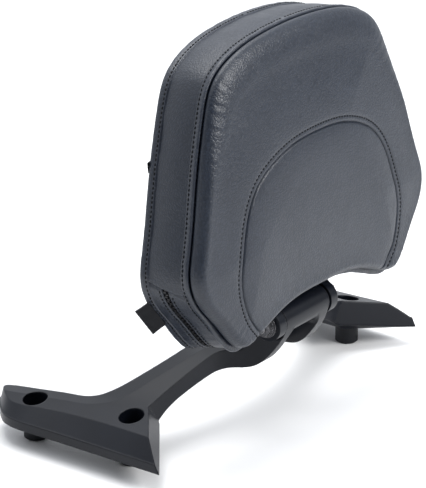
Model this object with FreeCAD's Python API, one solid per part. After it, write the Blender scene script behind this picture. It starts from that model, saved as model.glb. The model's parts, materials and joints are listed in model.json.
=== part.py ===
import FreeCAD, Part
import math
import os

os.makedirs("parts", exist_ok=True)

# Driver backrest: a padded backrest on a cast two-footed bracket with a fold-forward hinge.
# Millimetres. +X to the rider's right, -Y towards the rider's back, +Z up.
# X = 0 is the middle, Y = 0 the front pair of foot holes, Z = 0 the underside of the spacers.

V = FreeCAD.Vector

# Feet and spacers
HOLE_X_FRONT = 136.0
HOLE_X_REAR = 146.0
HOLE_SPAN_Y = 82.0
SPACER_R = 9.0
SPACER_H = 14.0
BOLT_HOLE_R = 4.3
COUNTERBORE_R = 9.3
COUNTERBORE_FLOOR = SPACER_H + 6.0
FOOT_BAND_TOP = 21.0
BAND_LEDGE = 0.7
SLOPE_RISE = 24.0

# Casting, right half. Heights of the top face and of the underside, as X and Z
TOP_FACE = [
    (-20.0, 62.0), (0.0, 62.0), (20.0, 61.9), (45.0, 60.3), (60.0, 57.6), (80.0, 52.0), (100.0, 46.0),
    (110.0, 43.0), (118.0, 40.6), (127.0, 38.2), (136.0, 36.0), (154.5, 31.9), (180.0, 26.9),
]
UNDERSIDE = [
    (-20.0, 46.5), (0.0, 46.5), (20.0, 46.4), (40.0, 45.4), (60.0, 42.4), (80.0, 37.6), (95.0, 33.2),
    (107.0, 27.0), (117.0, 19.5), (125.5, SPACER_H),
]
# Seen from above: soft ridge, inner edge, foot at its band and higher up, and front edge of the arm
RIDGE = [
    (154.0, 140.0), (147.3, 110.7), (141.9, 74.2), (138.9, 54.9), (136.6, 40.4), (130.7, 28.0), (120.1, 19.1),
    (101.2, 12.3), (81.5, 6.4), (60.7, 0.9), (38.0, -3.5), (0.0, -7.0), (-20.0, -7.0),
]
INNER_EDGE = [
    (142.0, 140.0), (136.5, 111.4), (132.0, 80.7), (129.4, 62.9), (127.3, 48.8), (123.0, 40.3), (117.3, 35.0),
    (95.0, 24.8), (68.2, 16.9), (46.5, 13.0), (24.0, 10.6), (0.0, 9.5), (-20.0, 9.5),
]
INNER_DROP = 2.4
FOOT_BASE = [
    (161.5, -90.0), (163.1, -47.0), (164.1, -12.0), (165.3, 33.0), (166.8, 68.0), (167.1, 82.0),
    (165.2, 93.0), (159.5, 103.0), (151.0, 112.0), (144.5, 117.0), (139.5, 117.5), (137.0, 111.0),
]
FOOT_CROWN = [
    (143.0, -90.0), (143.5, -47.0), (138.3, -12.0), (132.5, 33.0), (130.5, 68.0), (132.0, 80.0),
    (137.0, 88.5), (143.0, 96.5), (144.5, 104.0), (141.5, 112.0), (138.5, 113.5), (136.5, 109.0),
]
ARM_FRONT = [
    (122.2, -4.5), (105.5, -5.4), (89.8, -6.9), (72.4, -8.8), (60.0, -10.6), (51.5, -12.4), (45.5, -15.6),
    (41.0, -20.5), (37.5, -27.0), (34.0, -35.5), (30.5, -45.5), (27.0, -58.0),
]
END_FACE = [(122.2, -4.5, 39.5), (152.9, -28.9, 33.2), (162.5, -46.0, SPACER_H)]
LIFTED_FRONT = [(162.5, -46.0, SPACER_H), (110.0, 14.0, SPACER_H), (107.0, -3.5, 24.0)]
ARM_LIMIT_Y = -26.4
MIDDLE_Y = -22.5

# Hinge
HINGE_Y = -46.5
HINGE_Z = 84.2
TUBE_R = 11.6
TUBE_HALF = 27.0
LEVER_IN = 19.5
LEVER_BODY_OUT = 38.0
LEVER_FILLET = 6.0
SHOULDER_Z = 75.2
BOLT_R = 4.0
BOLT_CLEARANCE = 0.15
BUSH_R = 6.0
BUSH_CLEARANCE = 0.06
BUSH_LONG = 16.0
BUSH_FLANGE = 1.2
BUSH_FLANGE_R = 10.0
SIDE_GAP = 0.3
EAR_IN = TUBE_HALF + BUSH_FLANGE + SIDE_GAP
EAR_OUT = EAR_IN + 8.0
EAR_R = 12.4
EAR_ROOM = 1.0
STOP_GAP = 0.2
WASHER_R = 9.0
WASHER_T = 1.2
NUT_FLAT = 13.0
NUT_H = 5.2
NUT_FLANGE_R = 8.0
HEAD_H = 5.5
BOLT_TAIL = 1.8
BOLT_DIMPLE_R = 2.1

# Pad, in its own frame: u across, w back from the front seam, v up from the lower corners
PAD_Y = -61.0
PAD_Z = 94.2
RECLINE = 6.3
PAD_DEPTH = 42.0
SKIN = 1.4
FOAM_ROOM = 0.25
PANEL_ROOM = 0.004
CENTRE_V = 100.0
HALF_OUTLINE = [
    (0.0, 213.0), (40.0, 210.8), (76.0, 203.0), (97.0, 190.0), (108.0, 169.0),
    (121.0, 130.0), (135.0, 80.0), (139.5, 61.0), (134.0, 42.0), (119.0, 23.0),
    (104.0, 4.5), (94.0, -2.5), (80.0, -0.5), (58.0, 8.0), (30.0, 14.0), (0.0, 14.8),
]
PANEL_HALF = [
    (0.0, 132.0), (30.0, 130.0), (58.0, 121.0), (73.0, 111.0), (86.0, 92.0),
    (93.0, 70.0), (97.0, 50.0), (95.0, 33.0), (88.0, 16.0), (74.0, -12.0),
]
CROWN = [(0.0, 1.0), (-8.0, 0.988), (-12.5, 0.95), (-15.5, 0.86), (-18.0, 0.62)]
LIP_OUT = 1.012
LIP_T = 1.6
SEAM_V_FRONT = 46.0
SEAM_V_REAR = 57.0

# Inside the pad, from the back: cover, foam, tee nut flanges, board and then the steel plate
PLATE_T = 5.0
PLATE_HIGH_HALF = 48.0
PLATE_TOP_V = 105.0
PLATE_LOW_V = 8.0
PLATE_FLARE_FROM = 24.0
PLATE_FLARE_TO = 36.0
BACK_FOAM = 3.2
BOARD_T = 12.0
BOARD_SCALE = 0.9
SCREW_U = 34.0
SCREW_V_LOW = 42.0
SCREW_V_HIGH = 88.0
SCREW_R = 3.0
SCREW_HEAD_R = 5.6
SCREW_HEAD_H = 3.4
TEE_R = 4.0
TEE_FLANGE_R = 9.0
TEE_FLANGE_T = 1.4
PLATE_W = PAD_DEPTH - SKIN - BACK_FOAM - TEE_FLANGE_T - BOARD_T - PLATE_T
SLIT_ROOM = 0.5

# Zip
ZIP_W = 22.0
ZIP_WIDE = 5.0
ZIP_PROUD = 1.0
SLIDER_LONG = 11.0
SLIDER_WIDE = 7.5
SLIDER_TALL = 3.0
SLIDER_GAP = 0.3
SLIDE_TOP = (128.0, 31.0)
SLIDE_LOW = (110.0, 8.0)
PULL_LONG = 17.0
PULL_WIDE = 6.0
PULL_T = 1.6
PULL_EYE_WIDE = 3.4
PULL_EYE_R = 1.9
PULL_PLAY = 0.3
PULL_BORE_PLAY = 0.1
PULL_HANG = 36.0
PIVOT_H = 5.8
PIN_R = 0.9

# Rear pocket and tag
POCKET_TOP = 135.0
POCKET_T = 5.0
BINDING = 9.0
TAG_TOP = (137.0, 40.0)
TAG_LOW = (116.0, 12.0)
TAG_LONG = 27.0
TAG_OUT = 8.0
TAG_FLARE = 35.0
TAG_T = 1.2


def save(shape, name):
    shape = shape.removeSplitter() if shape.ShapeType != "Compound" else shape
    shape.exportStep("parts/" + name + ".step")


def poly_face(points):
    return Part.Face(Part.makePolygon(points + [points[0]]))


def x_cylinder(radius, x0, x1, y=HINGE_Y, z=HINGE_Z):
    return Part.makeCylinder(radius, x1 - x0, V(x0, y, z), V(1, 0, 0))


def z_cylinder(radius, x, y, z0, z1):
    return Part.makeCylinder(radius, z1 - z0, V(x, y, z0), V(0, 0, 1))


def hexagon(across, x0, x1):
    r = across / math.sqrt(3.0)
    pts = []
    for i in range(6):
        a = math.radians(60.0 * i)
        pts.append(V(x0, HINGE_Y + r * math.cos(a), HINGE_Z + r * math.sin(a)))
    return poly_face(pts).extrude(V(x1 - x0, 0, 0))


def mirror_x(shape):
    return shape.mirror(V(0, 0, 0), V(1, 0, 0))


# Bracket casting

def curve_through(points, even=False):
    curve = Part.BSplineCurve()
    if even:
        curve.interpolate(Points=points, Parameters=list(range(len(points))))
    else:
        curve.interpolate(Points=points)
    return curve


def joined(points):
    return [Part.LineSegment(p, q).toShape() for p, q in zip(points, points[1:])]


def half_space(points, depth, side):
    # Thick slab on one side of the plane through three points
    a, b, c = [V(*p) for p in points]
    n = (b - a).cross(c - a)
    n.normalize()
    if n.dot(side) < 0:
        n = n * -1.0
    u = V(0, 0, 1).cross(n)
    u.normalize()
    w = n.cross(u)
    mid = (a + b + c) * (1.0 / 3.0)
    corners = []
    for su, sw in ((-1, -1), (1, -1), (1, 1), (-1, 1)):
        corners.append(mid + u * (su * 120.0) + w * (sw * 100.0))
    return poly_face(corners).extrude(n * depth)


def top_lean(x):
    # Level change for each mm of Y: the arm rises to the rear, the foot falls
    t = min(max((x - 100.0) / 40.0, 0.0), 1.0)
    t = t * t * (3.0 - 2.0 * t)
    return 0.04 - 0.075 * t


def top_height(x, y):
    curve = curve_through([V(px, 0, pz) for px, pz in TOP_FACE])
    lo, hi = curve.FirstParameter, curve.LastParameter
    for _ in range(40):
        mid = 0.5 * (lo + hi)
        if curve.value(mid).x < x:
            lo = mid
        else:
            hi = mid
    return curve.value(lo).z + top_lean(x) * y


def above_top():
    rows = []
    for y in (-110.0, 160.0):
        pts = [V(x, y, z + top_lean(x) * y) for x, z in TOP_FACE]
        rows.append(curve_through(pts, True).toShape())
    return Part.makeRuledSurface(rows[0], rows[1]).extrude(V(0, 0, 120))


def above_inner_strip():
    # Ribs run from outside the ridge, over it and down beyond the inner edge
    outer = []
    inner = []
    for (rx, ry), (ix, iy) in zip(RIDGE, INNER_EDGE):
        r = V(rx, ry, top_height(rx, ry))
        d = V(ix, iy, top_height(ix, iy) - INNER_DROP) - r
        outer.append(r - d * 0.5)
        inner.append(r + d * 1.35)
    rows = [curve_through(outer, True).toShape(), curve_through(inner, True).toShape()]
    return Part.makeRuledSurface(rows[0], rows[1]).extrude(V(0, 0, 120))


def below_underside():
    pts = [V(x, -110.0, z) for x, z in UNDERSIDE]
    rest = [pts[-1], V(200, -110.0, SPACER_H), V(200, -110.0, -20), V(-20, -110.0, -20), pts[0]]
    return Part.Face(Part.Wire([curve_through(pts).toShape()] + joined(rest))).extrude(V(0, 270, 0))


def foot_outline(points, z):
    pts = [V(x, y, z) for x, y in points]
    rest = [pts[-1], V(95, 60, z), V(95, -90, z), pts[0]]
    return Part.Wire([curve_through(pts, True).toShape()] + joined(rest))


def foot():
    # Sloping sides above a slightly wider base band, cut off at the inner edge and the end face
    wires = [foot_outline(FOOT_BASE, FOOT_BAND_TOP), foot_outline(FOOT_CROWN, FOOT_BAND_TOP + SLOPE_RISE)]
    body = Part.makeLoft(wires, True, True)
    wide = []
    for x, y in FOOT_BASE:
        wide.append((x + (BAND_LEDGE if y < 95.0 else BAND_LEDGE / 2.0), y + (BAND_LEDGE if y > 85.0 else 0.0)))
    band = Part.Face(foot_outline(wide, SPACER_H)).extrude(V(0, 0, FOOT_BAND_TOP - SPACER_H))
    inner = curve_through([V(x, y, 0) for x, y in INNER_EDGE])
    a = inner.value(inner.FirstParameter)
    b = inner.value(inner.LastParameter)
    rest = joined([b, V(-20, -110, 0), V(200, -110, 0), V(200, 140, 0), a])
    outer_side = Part.Face(Part.Wire([inner.toShape()] + rest)).extrude(V(0, 0, 120))
    body = body.fuse(band).common(outer_side)
    body = body.cut(half_space(END_FACE, 90.0, V(0, -1, 0)))
    return body.cut(half_space(LIFTED_FRONT, 90.0, V(0, 0, -1)))


def arm_plan():
    front = curve_through([V(x, y, 0) for x, y in ARM_FRONT])
    inner = curve_through([V(x, y, 0) for x, y in INNER_EDGE])
    f0 = front.value(front.FirstParameter)
    f1 = front.value(front.LastParameter)
    a = inner.value(inner.FirstParameter)
    b = inner.value(inner.LastParameter)
    edges = [front.toShape()] + joined([f1, V(-20, f1.y, 0), b]) + [inner.toShape()]
    edges += joined([a, V(190, 140, 0), V(190, 5, 0), V(140, 5, 0), f0])
    return Part.Face(Part.Wire(edges)).extrude(V(0, 0, 120))


def arm(plan):
    end_x = ARM_FRONT[0][0]
    body = plan.common(Part.makeBox(end_x + 20.0, 300, 200, V(-20, ARM_LIMIT_Y, 0)))
    return body.cut(Part.makeBox(LEVER_IN + 20.0, 100, 200, V(-20, MIDDLE_Y - 100.0, 0)))


def lever_profile(x0, x1):
    front = [
        (HINGE_Y - 10.6, HINGE_Z - 4.7), (-55.6, 75.2), (-51.5, 67.4), (-43.5, 56.2), (-34.5, 48.2),
        (-25.0, 45.6), (-12.0, 45.8),
    ]
    rear = [(-12.0, 45.8), (-6.0, 54.0), (-10.0, 62.0), (-22.0, 75.5), (HINGE_Y + 7.6, HINGE_Z + 8.7), front[0]]
    edges = [curve_through([V(x0, y, z) for y, z in front]).toShape()]
    edges += joined([V(x0, y, z) for y, z in rear])
    return Part.Face(Part.Wire(edges)).extrude(V(x1 - x0, 0, 0))


def yoke():
    # Hinge tube between two levers, with a wide fillet in the corners
    body = x_cylinder(TUBE_R, -TUBE_HALF, TUBE_HALF)
    lever = lever_profile(LEVER_IN, TUBE_HALF)
    body = body.fuse([lever, mirror_x(lever)]).removeSplitter()
    corners = []
    for e in body.Edges:
        box = e.BoundBox
        p = e.valueAt(0.5 * (e.FirstParameter + e.LastParameter))
        off = abs(math.hypot(p.y - HINGE_Y, p.z - HINGE_Z) - TUBE_R)
        if abs(abs(box.XMin) - LEVER_IN) < 0.01 and box.XLength < 0.01 and off < 0.05 and e.Length > 3.0:
            corners.append(e)
    return body.makeFillet(LEVER_FILLET, corners)


def lever_body(plan):
    # Thick lower part of the lever, hollowed for the turning ear and stepped for its stop
    body = lever_profile(TUBE_HALF - 1.0, LEVER_BODY_OUT).common(plan)
    body = body.cut(x_cylinder(EAR_R + EAR_ROOM, TUBE_HALF, LEVER_BODY_OUT + 1.0))
    return body.cut(Part.makeBox(60, 100, 60, V(TUBE_HALF, -90, SHOULDER_Z)))


def bracket():
    plan = arm_plan()
    half = foot().fuse(arm(plan))
    half = half.cut(above_top()).cut(above_inner_strip()).cut(below_underside())
    half = half.common(Part.makeBox(200, 300, 200, V(0, -110, 0)))
    half = half.fuse(lever_body(plan)).removeSplitter()
    body = half.fuse([mirror_x(half), yoke()]).removeSplitter()
    for sx in (-1.0, 1.0):
        for hx, hy in ((HOLE_X_FRONT, 0.0), (HOLE_X_REAR, HOLE_SPAN_Y)):
            body = body.cut(z_cylinder(BOLT_HOLE_R, sx * hx, hy, 0.0, 60.0))
            body = body.cut(z_cylinder(COUNTERBORE_R, sx * hx, hy, COUNTERBORE_FLOOR, 60.0))
    body = body.cut(x_cylinder(BOLT_R + BOLT_CLEARANCE, -60.0, 60.0))
    depth = TUBE_HALF + BUSH_FLANGE - BUSH_LONG
    for x0, x1 in ((-60.0, -depth), (depth, 60.0)):
        body = body.cut(x_cylinder(BUSH_R, x0, x1))
    return body


def spacer(x, y):
    tube = z_cylinder(SPACER_R, x, y, 0.0, SPACER_H)
    tube = tube.cut(z_cylinder(BOLT_HOLE_R, x, y, -1.0, SPACER_H + 1.0))
    rim = [e for e in tube.Edges if e.BoundBox.ZMax < 0.01 and e.Length > 2.0 * math.pi * BOLT_HOLE_R + 1.0]
    return tube.makeChamfer(0.8, rim)


def hinge_bolt():
    right = EAR_OUT + WASHER_T
    left = -right
    shank = x_cylinder(BOLT_R, left - NUT_H - BOLT_TAIL, right)
    head = hexagon(NUT_FLAT, right, right + HEAD_H)
    bolt = shank.fuse(head)
    x_end = left - NUT_H - BOLT_TAIL
    end = [e for e in bolt.Edges if e.BoundBox.XMax < x_end + 0.01]
    bolt = bolt.makeChamfer(0.8, end)
    return bolt.cut(x_cylinder(BOLT_DIMPLE_R, x_end - 1.0, x_end + 2.4))


def washer(x0, x1):
    return x_cylinder(WASHER_R, x0, x1).cut(x_cylinder(BOLT_R + BOLT_CLEARANCE, x0 - 1, x1 + 1))


def hinge_nut():
    x1 = -(EAR_OUT + WASHER_T)
    x0 = x1 - NUT_H
    nut = hexagon(NUT_FLAT, x0, x1).fuse(x_cylinder(NUT_FLANGE_R, x1 - 1.6, x1))
    return nut.cut(x_cylinder(BOLT_R, x0 - 1, x1 + 1))


# Pad

def placed(shape):
    shape = shape.copy()
    shape.rotate(V(0, 0, 0), V(1, 0, 0), -RECLINE)
    shape.translate(V(0, PAD_Y, PAD_Z))
    return shape


def whole(half):
    left = [(-u, v) for u, v in reversed(half) if u > 0.0]
    return half + left


def rear_point(u, v):
    return u * (1.0 - 0.06 * (v / 213.0) ** 2), v * 1.03 - 6.0


def outline_points(scale, w, rear=0.0):
    pts = []
    for u, v in whole(HALF_OUTLINE):
        ru, rv = rear_point(u, v)
        u = u + (ru - u) * rear
        v = v + (rv - v) * rear
        pts.append(V(u * scale, w, CENTRE_V + (v - CENTRE_V) * scale))
    return pts


def outline_wire(scale, w, rear=0.0):
    curve = Part.BSplineCurve()
    curve.interpolate(Points=outline_points(scale, w, rear), PeriodicFlag=True)
    return Part.Wire([curve.toShape()])


def pad_loft(rows):
    return Part.makeLoft([outline_wire(k, w, r) for w, k, r in rows], True, True)


def crown_solid(drop, back, rear=0.0):
    # The crowned front, set in by a skin thickness of drop
    rows = [(back, 1.0 - drop * 0.01, rear)]
    for w, k in CROWN:
        rows.append((w + drop if w < 0.0 else 0.0, k - drop * 0.01, 0.0))
    return pad_loft(rows)


def band_rows(w0, w1, scale):
    return [(w0, scale, w0 / PAD_DEPTH), (w1, scale, w1 / PAD_DEPTH)]


def ring(w0, w1, outer, inner):
    solid = pad_loft(band_rows(w0, w1, outer))
    hole = pad_loft([(w0 - 1.0, inner, w0 / PAD_DEPTH), (w1 + 1.0, inner, w1 / PAD_DEPTH)])
    return solid.cut(hole)


def slab_above(v):
    return Part.makeBox(400, 200, 400, V(-200, -80, v))


def above_cross_seam():
    # The seam across the side climbs from the front edge to the rear edge
    rise = (SEAM_V_REAR - SEAM_V_FRONT) / PAD_DEPTH
    low = SEAM_V_FRONT - 80.0 * rise
    high = SEAM_V_FRONT + 120.0 * rise
    side = [V(-200, -80, low), V(-200, 120, high), V(-200, 120, 400), V(-200, -80, 400)]
    return poly_face(side).extrude(V(400, 0, 0))


def panel_prism():
    curve = Part.BSplineCurve()
    pts = [V(u, -40, v) for u, v in PANEL_HALF]
    left = [V(-u, -40, v) for u, v in PANEL_HALF if u > 0.0]
    pts = list(reversed(left)) + pts
    curve.interpolate(Points=pts)
    close = Part.LineSegment(pts[-1], pts[0]).toShape()
    return Part.Face(Part.Wire([curve.toShape(), close])).extrude(V(0, 60, 0))


def bushing(side):
    end = TUBE_HALF + BUSH_FLANGE
    body = x_cylinder(BUSH_R, end - BUSH_LONG, end)
    body = body.fuse(x_cylinder(BUSH_FLANGE_R, end - BUSH_FLANGE, end))
    body = body.cut(x_cylinder(BOLT_R + BUSH_CLEARANCE, end - 20.0, end + 1.0))
    return body if side > 0 else mirror_x(body)


def ear(x0, x1):
    # Round ear on the bolt, its neck up to the plate and the heel that rests on the lever's step
    disc = x_cylinder(EAR_R, x0, x1)
    back = PLATE_W + PLATE_T
    neck = [(9.0, 2.0), (PLATE_W - 2.5, 9.5), (PLATE_W, 10.0), (PLATE_W, 30.0), (back, 30.0), (back, 4.0), (26.5, -3.0)]
    neck = placed(poly_face([V(x0, w, v) for w, v in neck]).extrude(V(x1 - x0, 0, 0)))
    low = SHOULDER_Z + STOP_GAP
    heel = [(-36.0, 84.5), (-34.0, 81.5), (-30.0, 79.5), (-30.0, low), (-40.0, low)]
    heel = poly_face([V(x0, y, z) for y, z in heel]).extrude(V(x1 - x0, 0, 0))
    return disc.fuse([neck, heel]).cut(x_cylinder(BOLT_R + BOLT_CLEARANCE, x0 - 1.0, x1 + 1.0))


def support_plate():
    w0, w1 = PLATE_W, PLATE_W + PLATE_T
    half = [
        (EAR_OUT, PLATE_LOW_V), (EAR_OUT, PLATE_FLARE_FROM), (PLATE_HIGH_HALF, PLATE_FLARE_TO),
        (PLATE_HIGH_HALF, PLATE_TOP_V),
    ]
    outline = half + [(-u, v) for u, v in reversed(half)]
    plate = placed(poly_face([V(u, w0, v) for u, v in outline]).extrude(V(0, w1 - w0, 0)))
    return plate.fuse([ear(EAR_IN, EAR_OUT), ear(-EAR_OUT, -EAR_IN)]).removeSplitter()


def screw_spots():
    return [(s * SCREW_U, v) for s in (-1, 1) for v in (SCREW_V_LOW, SCREW_V_HIGH)]


def w_cylinder(radius, u, v, w0, w1):
    return Part.makeCylinder(radius, w1 - w0, V(u, w0, v), V(0, 1, 0))


def chain_spot(u, v):
    # Point on the chain's outer face nearest to (u, v), in the pad's frame
    edge = outline_wire(1.0 + ZIP_PROUD * 0.01, ZIP_W, ZIP_W / PAD_DEPTH).Edges[0]
    near = edge.Curve.parameter(V(u, ZIP_W, v))
    return edge.Curve.value(near)


def zip_axes():
    top = chain_spot(*SLIDE_TOP)
    low = chain_spot(*SLIDE_LOW)
    along = low - top
    along.normalize()
    out = V(-along.z, 0, along.x)
    return top, along, out


def local_box(origin, along, out, a0, a1, w0, w1, n0, n1):
    side = V(0, 1, 0)
    base = [origin + along * a + out * n for a, n in ((a0, n0), (a1, n0), (a1, n1), (a0, n1))]
    return poly_face([p + side * w0 for p in base]).extrude(side * (w1 - w0))


def w_pin(centre, radius, half):
    return Part.makeCylinder(radius, 2.0 * half, centre - V(0, half, 0), V(0, 1, 0))


def zip_slider():
    top, along, out = zip_axes()
    half = SLIDER_WIDE / 2.0
    long_half = SLIDER_LONG / 2.0
    lug = (SLIDER_WIDE - PULL_EYE_WIDE - 2.0 * PULL_PLAY) / 2.0
    body = local_box(top, along, out, -long_half, long_half, -half, half, SLIDER_GAP, SLIDER_GAP + SLIDER_TALL)
    corners = [e for e in body.Edges if abs(e.tangentAt(e.FirstParameter).dot(out)) > 0.99]
    body = body.makeFillet(2.2, corners)
    high = PIVOT_H + PIN_R + 0.8
    for w0 in (-half, half - lug):
        body = body.fuse(local_box(top, along, out, -2.0, 2.0, w0, w0 + lug, SLIDER_GAP, high))
    body = body.fuse(w_pin(top + out * PIVOT_H, PIN_R, half))
    return body.removeSplitter()


def zip_pull():
    top, along, out = zip_axes()
    pivot = top + out * PIVOT_H
    a = math.radians(PULL_HANG)
    down = along * math.cos(a) + out * math.sin(a)
    flat = out * math.cos(a) - along * math.sin(a)
    eye_half = PULL_EYE_WIDE / 2.0
    t = PULL_T / 2.0
    tab = local_box(pivot, down, flat, 3.2, PULL_LONG, -PULL_WIDE / 2.0, PULL_WIDE / 2.0, -t, t)
    ends = [e for e in tab.Edges if abs(e.tangentAt(e.FirstParameter).dot(flat)) > 0.99]
    tab = tab.makeFillet(1.8, ends)
    neck = local_box(pivot, down, flat, 0.0, 4.0, -eye_half, eye_half, -t, t)
    eye = w_pin(pivot, PULL_EYE_R, eye_half)
    tab = tab.fuse(neck).fuse(eye)
    tab = tab.cut(w_pin(pivot, PIN_R + PULL_BORE_PLAY, SLIDER_WIDE))
    hole = Part.makeCylinder(1.5, 6.0, pivot + down * (PULL_LONG - 4.5) - flat * 3.0, flat)
    return tab.cut(hole).removeSplitter()


def seam_tag():
    # A folded tape loop sewn into the rear seam, low on the left
    edge = outline_wire(LIP_OUT, PAD_DEPTH - 1.0, 1.0).Edges[0]
    a = edge.Curve.value(edge.Curve.parameter(V(-TAG_TOP[0], PAD_DEPTH - 1.0, TAG_TOP[1])))
    b = edge.Curve.value(edge.Curve.parameter(V(-TAG_LOW[0], PAD_DEPTH - 1.0, TAG_LOW[1])))
    along = b - a
    along.normalize()
    out = V(along.z, 0, -along.x)
    flare = out * math.cos(math.radians(TAG_FLARE)) + V(0, 1, 0) * math.sin(math.radians(TAG_FLARE))
    face = along.cross(flare)
    face.normalize()
    root = a - face * (TAG_T / 2.0) - flare * 0.2
    pts = [root, root + along * TAG_LONG, root + along * TAG_LONG + flare * TAG_OUT, root + flare * TAG_OUT]
    return poly_face(pts).extrude(face * TAG_T)


def main():
    cast = bracket()
    save(cast, "mount_bracket")
    for sx, side in ((-1, "left"), (1, "right")):
        save(spacer(sx * HOLE_X_FRONT, 0.0), "front_%s_spacer" % side)
        save(spacer(sx * HOLE_X_REAR, HOLE_SPAN_Y), "rear_%s_spacer" % side)
    save(hinge_bolt(), "hinge_bolt")
    save(hinge_nut(), "hinge_nut")
    save(washer(EAR_OUT, EAR_OUT + WASHER_T), "head_washer")
    save(washer(-EAR_OUT - WASHER_T, -EAR_OUT), "nut_washer")
    save(bushing(-1), "left_bushing")
    save(bushing(1), "right_bushing")

    plate = support_plate()
    board_w = PLATE_W + PLATE_T
    board = pad_loft([(board_w, BOARD_SCALE, 0.6), (board_w + BOARD_T, BOARD_SCALE, 0.9)])
    screws = []
    tees = []
    for u, v in screw_spots():
        hole = w_cylinder(SCREW_R, u, v, -10, 60)
        plate = plate.cut(placed(hole))
        board = board.cut(w_cylinder(TEE_R, u, v, board_w - 1, board_w + BOARD_T + 1))
        shank = w_cylinder(SCREW_R, u, v, PLATE_W, board_w + BOARD_T)
        head = w_cylinder(SCREW_HEAD_R, u, v, PLATE_W - SCREW_HEAD_H, PLATE_W)
        screws.append(placed(shank.fuse(head).removeSplitter()))
        tee = w_cylinder(TEE_R, u, v, board_w, board_w + BOARD_T)
        flange_w = board_w + BOARD_T
        tee = tee.fuse(w_cylinder(TEE_FLANGE_R, u, v, flange_w, flange_w + TEE_FLANGE_T))
        tees.append(placed(tee.cut(hole).removeSplitter()))
    save(plate, "support_plate")
    save(placed(board), "backing_board")
    save(Part.makeCompound(screws), "board_screws")
    save(Part.makeCompound(tees), "tee_nuts")

    # Foam
    inner = 1.0 - SKIN * 0.01
    foam_back = PAD_DEPTH - SKIN
    foam = placed(crown_solid(SKIN + FOAM_ROOM, foam_back, foam_back / PAD_DEPTH))
    inside = plate.fuse([placed(board)] + screws + tees)
    foam = foam.cut(inside)
    save(foam, "foam_core")

    # Cover
    skin = crown_solid(0.0, 0.5).cut(crown_solid(SKIN, 1.0))
    prism = panel_prism()
    save(placed(skin.common(prism)), "face_panel")
    save(placed(skin.cut(prism)), "face_border")
    save(placed(ring(0.5, 0.5 + LIP_T, LIP_OUT, inner)), "front_seam_lip")
    w_front = 0.5 + LIP_T
    w_back = PAD_DEPTH - SKIN - LIP_T
    save(placed(ring(w_back, PAD_DEPTH, LIP_OUT, inner)), "rear_seam_lip")
    band = ring(w_front, w_back, 1.0, inner)
    save(placed(band.common(above_cross_seam())), "side_band")
    z0 = ZIP_W - ZIP_WIDE / 2.0
    z1 = ZIP_W + ZIP_WIDE / 2.0
    low = Part.makeBox(400, 200, 400, V(-200, -80, -200)).cut(above_cross_seam())
    slit_half = EAR_OUT + SLIT_ROOM
    slit = Part.makeBox(2.0 * slit_half, PLATE_T + 2.0 * SLIT_ROOM, 80, V(-slit_half, PLATE_W - SLIT_ROOM, -40))
    low = low.cut(slit)
    save(placed(ring(w_front, z0, 1.0, inner).common(low)), "zip_strip_front")
    save(placed(ring(z1, w_back, 1.0, inner).common(low)), "zip_strip_rear")
    save(placed(ring(z0, z1, 1.0 + ZIP_PROUD * 0.01, inner).common(low)), "zip_chain")
    back_scale = inner - PANEL_ROOM
    panel = pad_loft([(PAD_DEPTH - SKIN, back_scale, 1.0), (PAD_DEPTH, back_scale, 1.0)])
    save(placed(panel), "back_panel")
    pocket = pad_loft([(PAD_DEPTH, 1.0, 1.0), (PAD_DEPTH + POCKET_T, 0.97, 1.0)])
    pocket = pocket.cut(slab_above(POCKET_TOP))
    edge = pocket.common(slab_above(POCKET_TOP - BINDING))
    save(placed(edge), "pocket_binding")
    save(placed(pocket.cut(slab_above(POCKET_TOP - BINDING))), "rear_pocket")
    save(placed(zip_slider()), "zip_slider")
    save(placed(zip_pull()), "zip_pull")
    tag = seam_tag().cut(pad_loft([(w_back, LIP_OUT, w_back / PAD_DEPTH), (PAD_DEPTH, LIP_OUT, 1.0)]))
    save(placed(tag.cut(pocket)), "side_tag")


main()
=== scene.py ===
import json
import math

import bpy
import numpy as np
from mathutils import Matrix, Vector


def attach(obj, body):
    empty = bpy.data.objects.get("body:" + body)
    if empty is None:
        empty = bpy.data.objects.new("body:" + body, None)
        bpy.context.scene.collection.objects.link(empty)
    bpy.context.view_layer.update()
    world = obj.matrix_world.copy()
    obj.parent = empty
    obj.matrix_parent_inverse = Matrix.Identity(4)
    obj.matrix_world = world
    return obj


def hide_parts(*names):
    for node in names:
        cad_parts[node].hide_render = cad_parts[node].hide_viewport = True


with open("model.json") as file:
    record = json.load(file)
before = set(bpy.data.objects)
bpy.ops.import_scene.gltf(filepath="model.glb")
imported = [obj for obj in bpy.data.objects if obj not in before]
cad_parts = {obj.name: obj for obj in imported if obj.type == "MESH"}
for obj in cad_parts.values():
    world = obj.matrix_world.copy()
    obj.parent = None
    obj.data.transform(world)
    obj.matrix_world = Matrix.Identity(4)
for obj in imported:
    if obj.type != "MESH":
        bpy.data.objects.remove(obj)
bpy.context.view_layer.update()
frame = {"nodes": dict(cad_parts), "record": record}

# Pad frame: u across, w from the front seam to the back, v up from the lower corners, in millimetres
PAD_Y = -61.0
PAD_Z = 94.2
RECLINE = math.radians(6.3)
DEPTH = 42.0
TOP_V = 213.0

# The pad's right half, from the top centre to the bottom centre
HALF_OUTLINE = [
    (0.0, TOP_V), (40.0, 210.8), (76.0, 203.0), (97.0, 190.0), (108.0, 169.0),
    (121.0, 130.0), (135.0, 80.0), (139.5, 61.0), (134.0, 42.0), (119.0, 23.0),
    (104.0, 4.5), (94.0, -2.5), (80.0, -0.5), (58.0, 8.0), (30.0, 14.0), (0.0, 14.8),
]

# The crease round the centre panel, right half, from its top to below the pad's edge
PANEL_HALF = [
    (0.0, 132.0), (30.0, 130.0), (58.0, 121.0), (73.0, 111.0), (86.0, 92.0),
    (93.0, 70.0), (97.0, 50.0), (95.0, 33.0), (88.0, 16.0), (76.0, 1.0), (70.0, -12.0),
]

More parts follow.
